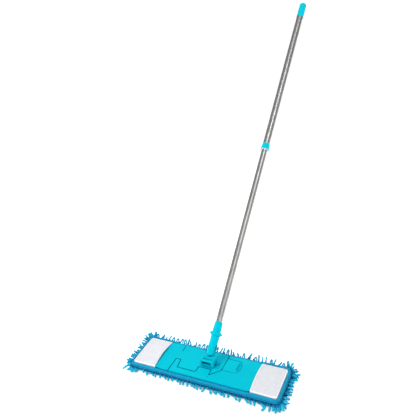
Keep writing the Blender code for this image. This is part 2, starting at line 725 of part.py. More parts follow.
def build():
    clear_scene()
    aqua = material("aqua_plastic", (0.0, 0.62, 0.72), 0.35)
    steel = material("steel", (0.6, 0.6, 0.6), 0.3, 1.0)
    metal = material("satin_tube", (0.55, 0.55, 0.54), 0.38, 0.9)
    nylon = material("white_nylon", (0.85, 0.85, 0.83), 0.5)
    pile = material("blue_chenille", (0.05, 0.42, 0.68), 0.95)
    cloth = material("blue_cloth", (0.08, 0.45, 0.7), 0.9)
    white = material("white_cloth", (0.85, 0.86, 0.89), 0.9)

    tilt = empty("tilt_axis", TILT_AXIS, LEAN)
    swing = empty("swing_axis", (0, 0, SWING_S), parent=tilt)
    press = empty("press_axis", TAB_AXIS)

    left_wing(aqua)
    right_wing(aqua)
    release_tab(aqua, press)
    tab_spring(steel)
    pins(steel)
    hub_bracket(aqua)
    hub_studs(aqua)

    swivel_block(aqua, tilt)
    handle_socket(aqua, swing)
    swing_pin(aqua, swing)
    ferrule(aqua, tilt)
    wing_ring(aqua, tilt)
    tube("inner_tube", INNER_TUBE, 62 * MM, INNER_TUBE_TOP, metal, tilt)
    tube("outer_tube", OUTER_TUBE, COLLAR_BOTTOM + 7.5 * MM, OUTER_TUBE_TOP, metal, tilt)
    lock_collar(aqua, tilt)
    guide_bush(nylon, tilt)
    end_cap(aqua, tilt)
    twist_lock(nylon, nylon, tilt)

    pad(pile, cloth, white, cloth)


build()
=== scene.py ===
"""Looks of the flat mop: finishes for the moulded and metal parts, and the pad modelled strand by strand.

Metres, +Z up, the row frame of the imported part: +X along the plate, the floor at z = 0.
"""

import json
import math
import random
from collections import namedtuple

import bpy
import numpy as np
from mathutils import Matrix, Vector, noise


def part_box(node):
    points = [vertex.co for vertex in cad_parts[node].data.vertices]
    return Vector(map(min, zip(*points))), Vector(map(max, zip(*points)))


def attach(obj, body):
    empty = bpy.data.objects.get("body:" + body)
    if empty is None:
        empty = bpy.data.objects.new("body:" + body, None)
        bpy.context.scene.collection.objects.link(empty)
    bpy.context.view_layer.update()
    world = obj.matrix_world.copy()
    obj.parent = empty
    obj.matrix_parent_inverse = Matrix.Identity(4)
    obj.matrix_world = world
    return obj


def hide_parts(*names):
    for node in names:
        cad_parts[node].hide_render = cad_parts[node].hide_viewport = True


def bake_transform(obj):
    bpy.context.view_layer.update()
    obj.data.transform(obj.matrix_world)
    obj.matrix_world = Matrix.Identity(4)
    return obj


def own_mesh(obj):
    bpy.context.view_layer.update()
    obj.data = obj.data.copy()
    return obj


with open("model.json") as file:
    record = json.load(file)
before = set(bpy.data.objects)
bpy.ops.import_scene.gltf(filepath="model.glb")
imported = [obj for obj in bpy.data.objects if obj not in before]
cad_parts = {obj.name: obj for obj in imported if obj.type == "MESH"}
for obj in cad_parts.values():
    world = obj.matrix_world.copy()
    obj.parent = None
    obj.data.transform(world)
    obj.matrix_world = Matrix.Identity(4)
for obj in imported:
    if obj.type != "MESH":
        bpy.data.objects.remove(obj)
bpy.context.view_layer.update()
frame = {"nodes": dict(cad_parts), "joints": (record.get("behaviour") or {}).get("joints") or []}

MM = 0.001
LEFT, RIGHT = "left_side", "right_side"
LEAN = next(j for j in frame["joints"] if j["name"] == "pole_slide")["axis"]


# ---------------------------------------------------------------- materials


def srgb(r, g, b):
    """A colour given as 0 to 255, made linear."""
    parts = []
    for c in (r, g, b):
        c /= 255
        parts.append(c / 12.92 if c <= 0.04045 else ((c + 0.055) / 1.055) ** 2.4)
    return (*parts, 1.0)


class Look:
    """One Principled material and the nodes that feed it."""

    def __init__(self, name, **sockets):
        self.material = bpy.data.materials.new(name)
        self.material.use_nodes = True
        self.tree = self.material.node_tree
        self.shader = self.tree.nodes["Principled BSDF"]
        for socket, value in sockets.items():
            self.shader.inputs[socket.replace("_", " ")].default_value = value
        self.place = self.node("ShaderNodeTexCoord").outputs["Object"]

    def node(self, kind, **values):
        made = self.tree.nodes.new(kind)
        for name, value in values.items():
            setattr(made, name, value)
        return made

    def link(self, source, target):
        self.tree.links.new(source, target)

    def math(self, operation, a, b=None):
        made = self.node("ShaderNodeMath", operation=operation)
        for socket, value in zip(made.inputs, (a, b)):
            if value is None:
                continue
            if isinstance(value, (int, float)):
                socket.default_value = value
            else:
                self.link(value, socket)
        return made.outputs[0]

    def noise(self, scale, detail=3.0, place=None):
        made = self.node("ShaderNodeTexNoise")
        made.inputs["Scale"].default_value = scale
        made.inputs["Detail"].default_value = detail
        made.inputs["Roughness"].default_value = 0.55
        self.link(place or self.place, made.inputs["Vector"])
        return made.outputs[0]

    def remap(self, value, low, high, start=0.3, end=0.7):
        made = self.node("ShaderNodeMapRange")
        made.inputs["From Min"].default_value = start
        made.inputs["From Max"].default_value = end
        made.inputs["To Min"].default_value = low
        made.inputs["To Max"].default_value = high
        self.link(value, made.inputs["Value"])
        return made.outputs[0]

    def mix(self, factor, a, b):
        made = self.node("ShaderNodeMix", data_type="RGBA")
        self.link(factor, made.inputs["Factor"])
        for name, value in (("A", a), ("B", b)):
            socket = [s for s in made.inputs if s.name == name and s.type == "RGBA"][0]
            if isinstance(value, tuple):
                socket.default_value = value
            else:
                self.link(value, socket)
        return [s for s in made.outputs if s.type == "RGBA"][0]

    def attribute(self, name):
        return self.node("ShaderNodeAttribute", attribute_name=name).outputs["Fac"]

    def color(self, value):
        self.link(value, self.shader.inputs["Base Color"])

    def roughness(self, value):
        self.link(value, self.shader.inputs["Roughness"])

    def bump(self, heights):
        """heights is [(value, depth in metres, strength), ...], coarse first."""
        normal = None
        for value, depth, strength in heights:
            made = self.node("ShaderNodeBump")
            made.inputs["Strength"].default_value = strength
            made.inputs["Distance"].default_value = depth
            self.link(value, made.inputs["Height"])
            if normal is not None:
                self.link(normal, made.inputs["Normal"])
            normal = made.outputs[0]
        self.link(normal, self.shader.inputs["Normal"])

    def painted_shade(self, reach, low, high):
        """How much shade to paint into a colour: 1 deep in a gap and 0 in the open, from how much of the
        sky a point sees within reach.
        """
        made = self.node("ShaderNodeAmbientOcclusion", samples=8)
        made.inputs["Distance"].default_value = reach
        return self.remap(made.outputs["AO"], 1, 0, low, high)

    def turned_place(self, stretch):
        """Object coordinates turned so that their Z runs along the pole, then scaled."""
        made = self.node("ShaderNodeMapping")
        made.inputs["Rotation"].default_value = (math.atan2(LEAN[1], LEAN[2]), 0, 0)
        made.inputs["Scale"].default_value = stretch
        self.link(self.place, made.inputs["Vector"])
        return made.outputs[0]

    def weave(self, pitch):
        """The height of a plain weave whose threads run along the cloth, whichever way it slopes."""
        parts = self.node("ShaderNodeSeparateXYZ")
        self.link(self.place, parts.inputs[0])
        x, y, z = parts.outputs
        waves = []
        for axis in (x, y):
            along = self.math("SUBTRACT", self.math("ABSOLUTE", axis), z)
            waves.append(self.math("SINE", self.math("MULTIPLY", along, 2 * math.pi / pitch)))
        return self.math("MULTIPLY", *waves)


def plastic():
    look = Look("aqua_plastic", Roughness=0.42, Specular_IOR_Level=0.25)
    look.shader.inputs["Specular Tint"].default_value = srgb(70, 225, 250)
    patches = look.remap(look.noise(18, 2), 0, 1)
    body = look.mix(patches, AQUA, AQUA_DEEP)
    # painted shade: crevices and gaps between the moulded parts turn dark navy, by how occluded they are
    look.color(look.mix(look.painted_shade(10 * MM, 0.2, 0.8), body, AQUA_GAP_SHADE))
    look.roughness(look.remap(look.noise(260, 4), 0.28, 0.42))
    grain = look.noise(1900, 2)
    flow = look.noise(60, 2)
    look.bump([(flow, 0.4 * MM, 0.12), (grain, 0.08 * MM, 0.25)])
    return look.material


def tube_metal():
    look = Look("satin_tube", Metallic=0.8, Specular_IOR_Level=0.4)
    brushed = look.noise(1, 4, look.turned_place((900, 900, 9)))
    cloudy = look.noise(1, 3, look.turned_place((30, 30, 6)))
    look.color(look.mix(look.remap(cloudy, 0, 1), TUBE, TUBE_DARK))
    look.roughness(look.remap(brushed, 0.3, 0.44))
    look.bump([(brushed, 0.04 * MM, 0.08)])
    return look.material


def steel():
    look = Look("steel", Metallic=1.0)
    look.color(look.mix(look.noise(120, 3), srgb(176, 178, 180), srgb(140, 142, 145)))
    look.roughness(look.remap(look.noise(700, 3), 0.22, 0.4))
    look.bump([(look.noise(1500, 2), 0.03 * MM, 0.2)])
    return look.material


def nylon():
    look = Look("white_nylon", Specular_IOR_Level=0.4)
    look.color(look.mix(look.noise(50, 2), srgb(228, 228, 222), srgb(214, 214, 206)))
    look.roughness(look.remap(look.noise(500, 3), 0.42, 0.58))
    look.bump([(look.noise(1600, 2), 0.05 * MM, 0.2)])
    return look.material


def chenille():
    """Pile over a twisted core. The shade attribute is 0 at a strand's root and 1 at its tip: low values
    paint shade into the colour, and high values give the tips' own teal.
    """
    look = Look("chenille", Roughness=1.0, Specular_IOR_Level=0.05, Sheen_Weight=0.12, Sheen_Roughness=0.5)
    look.shader.inputs["Sheen Tint"].default_value = srgb(150, 215, 250)
    shade = look.attribute("shade")
    tufts = look.noise(950, 3)
    patches = look.remap(look.noise(130, 2), 0, 1)
    body = look.mix(patches, CHENILLE, CHENILLE_LIGHT)
    body = look.mix(look.remap(shade, 0, 0.8, 0.55, 1.0), body, CHENILLE_TIP)
    # painted shade: between the tufts, towards the roots where the shade attribute is low, and where the
    # strands are occluded, the colour goes to dark navy
    shade_between_tufts = look.remap(tufts, 0, 0.35, 0.5, 0.75)
    painted_shade = look.math("MAXIMUM", shade_between_tufts, look.remap(shade, 0.85, 0, 0.05, 0.4))
    painted_shade = look.math("MAXIMUM", painted_shade, look.painted_shade(7 * MM, 0.1, 0.5))
    look.color(look.mix(painted_shade, body, CHENILLE_SHADE))
    look.bump([(look.noise(420, 2), 0.9 * MM, 0.5), (tufts, 0.5 * MM, 0.7)])
    return look.material


def cloth(name, light, dark, pitch, deep, sheen, gap=None, rim=None):
    """Woven cloth. deep is painted shade in the weave's valleys, gap is painted shade in a crevice, and rim
    is a painted highlight, laid where the rim attribute is 1.
    """
    look = Look(name, Roughness=0.95, Specular_IOR_Level=0.15, Sheen_Weight=sheen, Sheen_Roughness=0.6)
    threads = look.remap(look.weave(pitch), 0, 1, -1, 1)
    patches = look.noise(90, 3)
    body = look.mix(look.remap(patches, 0, 1), light, dark)
    # painted shade in the weave's valleys
    body = look.mix(look.remap(threads, 0.35, 0), body, deep)
    if gap:
        # painted shade in crevices, by how occluded they are
        body = look.mix(look.painted_shade(4 * MM, 0.15, 0.6), body, gap)
    if rim:
        # painted highlight on the rim
        body = look.mix(look.attribute("rim"), body, rim)
    look.color(body)
    look.bump([(look.noise(300, 3), 0.25 * MM, 0.25), (threads, 0.16 * MM, 0.6)])
    return look.material


def thread(name, color, deep):
    look = Look(name, Roughness=0.8, Specular_IOR_Level=0.2, Sheen_Weight=0.2)
    look.color(look.mix(look.noise(1500, 2), color, deep))
    look.bump([(look.noise(2500, 2), 0.1 * MM, 0.5)])
    return look.material


AQUA, AQUA_DEEP = srgb(0, 199, 217), srgb(0, 193, 214)
# painted shade for the plastic's crevices
AQUA_GAP_SHADE = srgb(0, 50, 140)
TUBE, TUBE_DARK = srgb(226, 227, 224), srgb(208, 209, 207)
CHENILLE, CHENILLE_LIGHT = srgb(8, 162, 204), srgb(58, 208, 244)
# CHENILLE_TIP is the tips' own teal, and the second colour is painted shade for the roots, the gaps between
# tufts and occluded places
CHENILLE_TIP, CHENILLE_SHADE = srgb(34, 166, 186), srgb(0, 56, 116)
EDGE_BLUE, EDGE_BLUE_DARK = srgb(4, 166, 205), srgb(0, 152, 193)
# the third colour is painted shade in the weave's valleys, and the fourth painted shade in the binding's
# crevices
EDGE_BLUE_VALLEY_SHADE, EDGE_BLUE_GAP_SHADE = srgb(0, 110, 158), srgb(0, 84, 140)
# the last colour is painted shade in the weave's valleys
BACK_BLUE, BACK_BLUE_DARK, BACK_BLUE_VALLEY_SHADE = srgb(40, 150, 205), srgb(28, 138, 195), srgb(8, 90, 150)
# the last colour is painted shade in the weave's valleys
WHITE, WHITE_DARK, WHITE_VALLEY_SHADE = srgb(236, 237, 241), srgb(224, 226, 231), srgb(184, 190, 202)
# painted highlight on the pockets' raised edges
WHITE_RIM_HIGHLIGHT = srgb(252, 253, 255)

PLASTIC = plastic()
METAL = tube_metal()
STEEL = steel()
NYLON = nylon()
NOODLE = chenille()
BINDING = cloth(
    "blue_binding", EDGE_BLUE, EDGE_BLUE_DARK, 1.1 * MM, EDGE_BLUE_VALLEY_SHADE, 0.08, gap=EDGE_BLUE_GAP_SHADE
)
BACKING = cloth("blue_backing", BACK_BLUE, BACK_BLUE_DARK, 1.4 * MM, BACK_BLUE_VALLEY_SHADE, 0.2)
POCKET = cloth("white_pocket", WHITE, WHITE_DARK, 0.9 * MM, WHITE_VALLEY_SHADE, 0.25, rim=WHITE_RIM_HIGHLIGHT)
BLUE_THREAD = thread("blue_thread", srgb(4, 108, 156), srgb(0, 70, 118))
WHITE_THREAD = thread("white_thread", srgb(235, 236, 240), srgb(205, 208, 215))

FINISH = {
    "aqua_plastic": (
        PLASTIC,
        "left_wing right_wing release_tab hub_bracket swivel_block handle_socket ferrule wing_ring "
        "lock_collar end_cap swing_pin hub_stud_left hub_stud_right",
    ),
    "steel": (STEEL, "fold_pin tab_pin tilt_pin tab_spring"),
    "tube": (METAL, "inner_tube outer_tube"),
    "white_nylon": (NYLON, "cam_core cam_disc grip_ring guide_bush"),
}


def finish_cad_nodes():
    for slot, (look, names) in FINISH.items():
        for name in names.split():
            node = frame["nodes"][name]
            node.data.materials.clear()
            node.data.materials.append(look)


# ---------------------------------------------------------------- mesh tools


def piece(name, verts, faces, look, smooth=60):
    mesh = bpy.data.meshes.new(name)
    mesh.from_pydata([tuple(v) for v in verts], [], faces)
    mesh.validate()
    mesh.materials.append(look)
    mesh.shade_smooth()
    if smooth is not None:
        mesh.set_sharp_from_angle(angle=math.radians(smooth))
    made = bpy.data.objects.new(name, mesh)
    bpy.context.scene.collection.objects.link(made)
    return made


def solidify(obj, thickness, offset=-1.0):
    made = obj.modifiers.new("thickness", "SOLIDIFY")
    made.thickness = thickness
    made.offset = offset
    bpy.context.view_layer.objects.active = obj
    bpy.ops.object.modifier_apply(modifier=made.name)


def smooth_step(value, start, end):
    t = max(0.0, min(1.0, (value - start) / (end - start)))
    return t * t * (3 - 2 * t)


def wrinkle(p, scale, seed=0.0):
    return noise.noise(Vector((p.x * scale, p.y * scale, p.z * scale + seed)))


class Strands:
    """Collects closed tubes, and makes one mesh of them."""

    def __init__(self):
        self.verts, self.faces, self.shades = [], [], []

    def add(self, path, radii, sides, rough, draw, shade):
        """A closed tube through path. rough is the scatter of its surface, as a share of its radius."""
        first = len(self.verts)
        count = len(path)
        side = Vector((0.3, 0.5, 0.8))
        for i, at in enumerate(path):
            way = (path[min(i + 1, count - 1)] - path[max(i - 1, 0)]).normalized()
            side = (side - way * side.dot(way)).normalized()
            up = way.cross(side)
            turn = 0.6 * (i % 2)
            for k in range(sides):
                a = 2 * math.pi * (k + turn) / sides
                r = radii[i] * (1 + rough * draw.uniform(-1, 1))
                self.verts.append(at + side * (r * math.cos(a)) + up * (r * math.sin(a)))
                self.shades.append(shade[i])
        for i in range(count - 1):
            a = first + i * sides
            for k in range(sides):
                j = (k + 1) % sides
                self.faces.append((a + k, a + j, a + sides + j, a + sides + k))
        for end in (0, count - 1):
            way = path[1] - path[0] if end == 0 else path[-1] - path[-2]
            tip = path[end] + way.normalized() * (radii[end] * (0.5 if end else -0.3))
            self.verts.append(tip)
            self.shades.append(shade[end])
            a, last = first + end * sides, len(self.verts) - 1
            for k in range(sides):
                j = (k + 1) % sides
                self.faces.append((a + k, a + j, last) if end else (a + j, a + k, last))

    def piece(self, name, look, smooth=None):
        made = piece(name, self.verts, self.faces, look, smooth)
        shade = made.data.attributes.new("shade", "FLOAT", "POINT")
        shade.data.foreach_set("value", np.array(self.shades, np.float32))
        return made


# ---------------------------------------------------------------- the pad's outline


EDGE_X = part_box("pocket_right")[1].x + 0.1 * MM
EDGE_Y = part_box("pocket_right")[1].y
EDGE_CORNER = 5 * MM
POCKET_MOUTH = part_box("pocket_right")[0].x
FOLD_ZONE = 14 * MM  # either side of the fold, where the pad bends


def outline(fine, coarse):
    """(point, outward normal) round the plate, anticlockwise from the middle of the front edge.

    fine and coarse are the steps near the fold and away from it.
    """
    flat_x, flat_y = EDGE_X - EDGE_CORNER, EDGE_Y - EDGE_CORNER

    def straight(low, high, step):
        n = max(1, round(abs(high - low) / step))
        return [low + (high - low) * i / n for i in range(n)]

    right_half = []
    for x in straight(0, FOLD_ZONE, fine) + straight(FOLD_ZONE, flat_x, coarse):
        right_half.append((Vector((x, -EDGE_Y, 0)), Vector((0, -1, 0))))
    turns = 7
    for i in range(turns):
        a = math.pi / 2 * i / turns - math.pi / 2
        n = Vector((math.cos(a), math.sin(a), 0))
        right_half.append((Vector((flat_x, -flat_y, 0)) + n * EDGE_CORNER, n))
    for y in straight(-flat_y, 0, coarse):
        right_half.append((Vector((EDGE_X, y, 0)), Vector((1, 0, 0))))
    right_half.append((Vector((EDGE_X, 0, 0)), Vector((1, 0, 0))))
    back_right = [(Vector((p.x, -p.y, 0)), Vector((n.x, -n.y, 0))) for p, n in right_half[-2:0:-1]]
    back_right.append((Vector((0, EDGE_Y, 0)), Vector((0, 1, 0))))
    right = right_half + back_right
    left = [(Vector((-p.x, p.y, 0)), Vector((-n.x, n.y, 0))) for p, n in right[-2:0:-1]]
    return right + left


# ---------------------------------------------------------------- the binding


BINDING_PROFILE = [  # (outwards from the plate's edge, height), in millimetres, anticlockwise
    (0.6, 11.2),
    (0.5, 12.6),
    (0.8, 13.9),
    (1.6, 14.8),
    (2.7, 15.1),
    (3.9, 14.8),
    (5.1, 13.9),
    (6.0, 12.8),
    (6.5, 12.0),
    (6.8, 10.9),
    (7.6, 10.7),
    (8.5, 10.8),
    (9.1, 10.0),
    (8.8, 9.0),
    (7.6, 8.6),
    (5.5, 8.9),
    (3.2, 9.4),
]
STITCH_LINE = (7.2, 10.9)
PULLED_UP = {"left": 8.5, "right": 3.5, "back": 8.0, "front": 3.0}  # beside the pockets, in millimetres
PULLED_UP_MIDDLE = {"back": 5.0, "front": 0.5}
PLATE_INSET = 2.0  # how much nearer the binding lies to the plate between the pockets
NARROW_LEFT = 0.12  # how much narrower the binding is pulled at the left end, as a share


def beside_pocket(p, n):
    """1 where a pocket's seam pulls the binding up and 0 between the pockets."""
    if abs(n.x) > 0.5:
        return 1.0
    return smooth_step(abs(p.x), POCKET_MOUTH - 16 * MM, POCKET_MOUTH + 2 * MM)


def pulled_up(p, n):
    """How far the binding's crest is raised at a point of the outline, in millimetres."""
    end = PULLED_UP["left" if n.x < 0 else "right"]
    edge = "front" if n.y < 0 else "back"
    share = beside_pocket(p, n)
    long_side = PULLED_UP[edge] * share + PULLED_UP_MIDDLE[edge] * (1 - share)
    return end * n.x**2 + long_side * (1 - n.x**2)


def binding_point(p, n, out, height):
    """A point of the binding, with the small puckers that sewing leaves."""
    height += pulled_up(p, n) * max(0.0, min(1.0, (height - 9.5) / 4)) * max(0.0, 1 - max(0.0, out - 5) / 9)
    pucker = wrinkle(p, 95) * 0.7 + wrinkle(p, 33, 5.0) * 0.6
    free = min(1.0, out / 6)
    out -= PLATE_INSET * (1 - beside_pocket(p, n)) * max(0.0, 1 - out / 7)
    out *= 1 - NARROW_LEFT * (0.5 - 0.5 * p.x / EDGE_X) if n.y < 0 else 1
    at = p + n * ((out + pucker * free) * MM)
    at.z = (height + wrinkle(p, 70, 9.0) * 0.55 * free) * MM
    return at


def make_binding():
    ring = outline(1.2 * MM, 2.4 * MM)
    verts, faces = [], []
    count = len(BINDING_PROFILE)
    for p, n in ring:
        verts += [binding_point(p, n, out, height) for out, height in BINDING_PROFILE]
    total = len(ring)
    for i in range(total):
        j = (i + 1) % total
        for k in range(count):
            m = (k + 1) % count
            faces.append((i * count + k, i * count + m, j * count + m, j * count + k))
    made = piece("binding", verts, faces, BINDING, 80)
    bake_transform(made)
    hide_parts("hem_left", "hem_right")
    return made


def stitches(name, line, look, length, gap, radius):
    """Short threads along a closed or open line of points, each dipping into the cloth at its ends."""
    lengths = [0.0]
    for a, b in zip(line, line[1:]):
        lengths.append(lengths[-1] + (b - a).length)

    def at(s):
        i = max(0, min(len(line) - 2, next((k for k, v in enumerate(lengths) if v > s), len(line)) - 1))
        part = (s - lengths[i]) / max(1e-9, lengths[i + 1] - lengths[i])
        return line[i].lerp(line[i + 1], part)

    made = Strands()
    draw = random.Random(name)
    s = gap
    while s + length < lengths[-1]:
        path = []
        for t, lift in ((0, -0.9), (0.12, 0.1), (0.5, 0.45), (0.88, 0.1), (1, -0.9)):
            path.append(at(s + length * t) + Vector((0, 0, lift * radius)))
        made.add(path, [radius * r for r in (0.7, 1, 1, 1, 0.7)], 6, 0.04, draw, [0] * 5)
        s += length + gap
    return made.piece(name, look)


def make_binding_stitches():
    ring = outline(1.2 * MM, 2.4 * MM)
    line = [binding_point(p, n, *STITCH_LINE) for p, n in ring]
    line.append(line[0].copy())
    made = stitches("binding_stitches", line, BLUE_THREAD, 2.8 * MM, 0.7 * MM, 0.5 * MM)
    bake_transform(made)
    return made


# ---------------------------------------------------------------- the backing


SEAM_END, SEAM_SIDE = 4 * MM, 3.4 * MM  # how far the backing reaches under the binding
BACKING_CORNER = 12 * MM
BACKING_MIDDLE = 9.7 * MM  # height


def make_backing():
    """The cloth that the strands are tufted through, flat under the plate."""
    half_x, half_y, corner = EDGE_X + SEAM_END, EDGE_Y + SEAM_SIDE, BACKING_CORNER
    xs = sorted({round(v, 6) for s in (-1, 1) for v in [s * half_x * i / 60 for i in range(61)]})
    xs = sorted(set(xs + [i * 1.5 * MM for i in range(-9, 10)]))
    ys = [half_y * i / 18 for i in range(-18, 19)]
    verts, faces = [], []
    for x in xs:
        over = max(0.0, abs(x) - (half_x - corner))
        width = half_y - corner + math.sqrt(max(0.0, corner**2 - over**2))
        for y in ys:
            p = Vector((x, y * width / half_y, 0))
            p.z = BACKING_MIDDLE + wrinkle(p, 60) * 0.35 * MM
            verts.append(p)
    wide = len(ys)
    for i in range(len(xs) - 1):
        for k in range(wide - 1):
            a = i * wide + k
            faces.append((a, a + wide, a + wide + 1, a + 1))
    made = piece("backing", verts, faces, BACKING, None)
    solidify(made, 1.2 * MM, 0.0)
    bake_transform(made)
    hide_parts("backing_left", "backing_right")
    return made


# ---------------------------------------------------------------- the pockets


POCKET_END, POCKET_SIDE = EDGE_X - 0.4 * MM, EDGE_Y - 0.3 * MM  # where the right-hand pocket is sewn down
POCKET_CORNER = 4.5 * MM
POCKET_TOP = 21.2 * MM
POCKET_FOOT = 11.4 * MM
SKIRT = (0, 0.25, 0.6)  # rows of points between the foot and the top
SHOULDER = 2.2 * MM
MOUTH_HEM = 7 * MM
CLOTH = 0.9 * MM


def inward_of_seam(x, y):
    """How far a place of the right-hand pocket is from its sewn edge."""
    dx, dy = x - (POCKET_END - POCKET_CORNER), abs(y) - (POCKET_SIDE - POCKET_CORNER)
    if dx > 0 and dy > 0:
        return max(0.0, POCKET_CORNER - math.hypot(dx, dy))
    return max(0.0, min(POCKET_END - x, POCKET_SIDE - abs(y)))


def pocket_rim(x, y, side):
    """1 on the pocket's raised, doubled edges, where a highlight is painted, and 0 inside them."""
    inward = min(inward_of_seam(x, y), x - mouth_x(y, side))
    return 1 - smooth_step(inward, 1.3 * MM, 2.7 * MM)


def pocket_height(x, y, side):
    """The pocket's top at a place of the right-hand pocket, before it is mirrored for the left one."""
    inward = inward_of_seam(x, y)
    depth = (x - POCKET_MOUTH) / (POCKET_END - POCKET_MOUTH)
    across = y / POCKET_SIDE
    dome = 3.4 * MM * max(0.0, 1 - across**2) ** 1.2 * (1 - 0.85 * max(0.0, min(1.0, depth)))
    z = POCKET_TOP + dome
    if inward < SHOULDER:
        z -= SHOULDER - math.sqrt(SHOULDER**2 - (SHOULDER - inward) ** 2)
    from_mouth = x - mouth_x(y, side)
    z += 0.45 * MM * (1 - smooth_step(from_mouth, MOUTH_HEM - 0.8 * MM, MOUTH_HEM + 0.4 * MM))
    seam = math.exp(-(((inward - 3.4 * MM) / (0.7 * MM)) ** 2))
    if from_mouth > MOUTH_HEM:
        z -= 0.35 * MM * seam
    p = Vector((x, y, side * 0.1))
    fullness = min(1.0, inward / (8 * MM))
    z += wrinkle(p, 70) * 0.3 * MM * fullness + wrinkle(p, 190, 3.0) * 0.12 * MM * fullness
    return z


def mouth_x(y, side):
    """The mouth's edge, which bows a little between its sewn corners."""
    bow = 2.4 * MM if side < 0 else -1.6 * MM
    return POCKET_MOUTH + bow * (1 - (y / EDGE_Y) ** 2)


def pocket_row(d, shares, side):
    """The points across the pocket's top at depth d, which is 0 at the mouth and 1 at the sewn end."""
    x_flat = POCKET_MOUTH + d * (POCKET_END - POCKET_MOUTH)
    over = max(0.0, x_flat - (POCKET_END - POCKET_CORNER))
    width = POCKET_SIDE - POCKET_CORNER + math.sqrt(max(0.0, POCKET_CORNER**2 - over**2))
    row = []
    for share in shares:
        y = share * width
        x = x_flat + (mouth_x(y, side) - POCKET_MOUTH) * (1 - smooth_step(d, 0, 0.7))
        row.append(Vector((x, y, pocket_height(x, y, side))))
    return row


def skirt_point(v, t, out_x, out_y):
    """The point at share t of the way from the foot up to v, a little outside it."""
    return Vector((v.x + out_x, v.y + out_y, POCKET_FOOT + (v.z - POCKET_FOOT) * t))


def pocket_points(side):
    """The right-hand pocket's points with its skirts, and how many there are across."""
    depths = [i / 22 * 0.8 for i in range(22)]
    depths += [0.8 + 0.2 * math.sin(math.pi / 2 * i / 12) for i in range(13)]
    shares = [math.copysign(1 - (1 - abs(i / 30)) ** 1.35, i / 30) for i in range(-30, 31)]
    out = 0.1 * MM
    points = []
    for d in depths:
        row = pocket_row(d, shares, side)
        points += [skirt_point(row[0], t, 0, -out) for t in SKIRT]
        points += row
        points += [skirt_point(row[-1], t, 0, out) for t in SKIRT[::-1]]
    across = len(shares) + 2 * len(SKIRT)
    last = points[-across:]
    for t in SKIRT[::-1]:
        points += [skirt_point(v, t, out, 0) for v in last]
    return points, across


def pocket_stitches(name, side):
    """The thread along the mouth's hem."""
    line = []
    for i in range(61):
        y = (POCKET_SIDE - 1.5 * MM) * (i / 30 - 1)
        x = mouth_x(y, side) + MOUTH_HEM - 1.6 * MM
        line.append(Vector((side * x, y, pocket_height(x, y, side) + 0.05 * MM)))
    return stitches(name + "_stitches", line, WHITE_THREAD, 2.3 * MM, 0.7 * MM, 0.24 * MM)


def make_pocket(name, side):
    verts, across = pocket_points(side)
    faces = []
    for i in range(len(verts) // across - 1):
        for k in range(across - 1):
            a = i * across + k
            faces.append((a, a + across, a + across + 1, a + 1))
    rims = [pocket_rim(v.x, v.y, side) for v in verts]
    if side < 0:
        verts = [Vector((-v.x, v.y, v.z)) for v in verts]
        faces = [f[::-1] for f in faces]
    made = piece(name, verts, faces, POCKET, None)
    made.data.attributes.new("rim", "FLOAT", "POINT").data.foreach_set("value", np.array(rims, np.float32))
    solidify(made, CLOTH)
    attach(made, LEFT if side < 0 else RIGHT)
    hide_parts(name)
    sewn = pocket_stitches(name, side)
    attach(sewn, LEFT if side < 0 else RIGHT)
    return made


# ---------------------------------------------------------------- the strands


def strand_path(start, way, length, bend, floor, count=9):
    """A strand from start along way that bends by bend per metre and rests on the floor."""
    path = [start.copy()]
    way = way.normalized()
    step = length / (count - 1)
    for _ in range(count - 1):
        at = path[-1] + way * step
        if at.z < floor:
            at.z = floor
            way.z = max(way.z, 0.0)
        path.append(at)
        way = (way + bend * step).normalized()
    return path


def strand_radii(radius, count, draw):
    radii = []
    for i in range(count):
        t = i / (count - 1)
        r = radius * (0.8 + 0.2 * min(1.0, t * 5))
        if t > 0.8:
            r *= math.sqrt(max(0.12, 1 - ((t - 0.8) / 0.2) ** 2 * 0.8))
        radii.append(r * draw.uniform(0.93, 1.07))
    return radii


def side_of(n):
    """Which edge of the pad an outward normal belongs to."""
    if abs(n.x) > abs(n.y):
        return "left" if n.x < 0 else "right"
    return "front" if n.y < 0 else "back"


# pitch, length and radius in millimetres; rise from level and its spread in degrees; up is the bend upwards
# per metre; lean is along the edge, anticlockwise, and sway is its spread
Fringe = namedtuple("Fringe", "pitch length radius rise spread up lean sway")
FRINGE = {
    "front": Fringe(12.5, 22.5, 3.1, -24, 6, -42, 0.62, 0.16),
    "back": Fringe(8.6, 21.5, 2.2, 28, 10, 12, 0.0, 0.3),
    "left": Fringe(3.9, 20, 2.3, 22, 12, -6, 0.1, 0.35),
    "right": Fringe(6.2, 21, 2.6, 4, 14, -20, -0.1, 0.4),
}
LOWER_PITCH = {"front": 0.37, "back": 0.8, "left": 0.7, "right": 0.6}
CORNER_FAN = 13
# at each corner, by its direction: (share of the edge's length, lift in degrees)
CORNER = {(-1, -1): (0.8, 4), (1, -1): (1.1, 4), (-1, 1): (1.05, 26), (1, 1): (1.15, 16)}
LAYER_DROP = 24  # how much lower the lower layer points, in degrees
LIE_ABOVE = 0.75 * MM  # between the floor and a strand that rests on it, for its scattered surface
PILE_PITCH = 8.0 * MM
PILE_ROOT = 8.2 * MM  # height
GROUPS = {"left": Strands(), "middle": Strands(), "right": Strands()}


def group_of(path):
    low, high = min(p.x for p in path), max(p.x for p in path)
    if high < -FOLD_ZONE + 3 * MM:
        return "left"
    if low > FOLD_ZONE - 3 * MM:
        return "right"
    return "middle"


def grow(path, radius, sides, draw, shade_from, shade_to):
    count = len(path)
    # shade runs from shade_from at the root to shade_to at the tip; low values paint shade into the
    # chenille's colour
    shade = [shade_from + (shade_to - shade_from) * (i / (count - 1)) ** 1.9 for i in range(count)]
    GROUPS[group_of(path)].add(path, strand_radii(radius, count, draw), sides, 0.13, draw, shade)


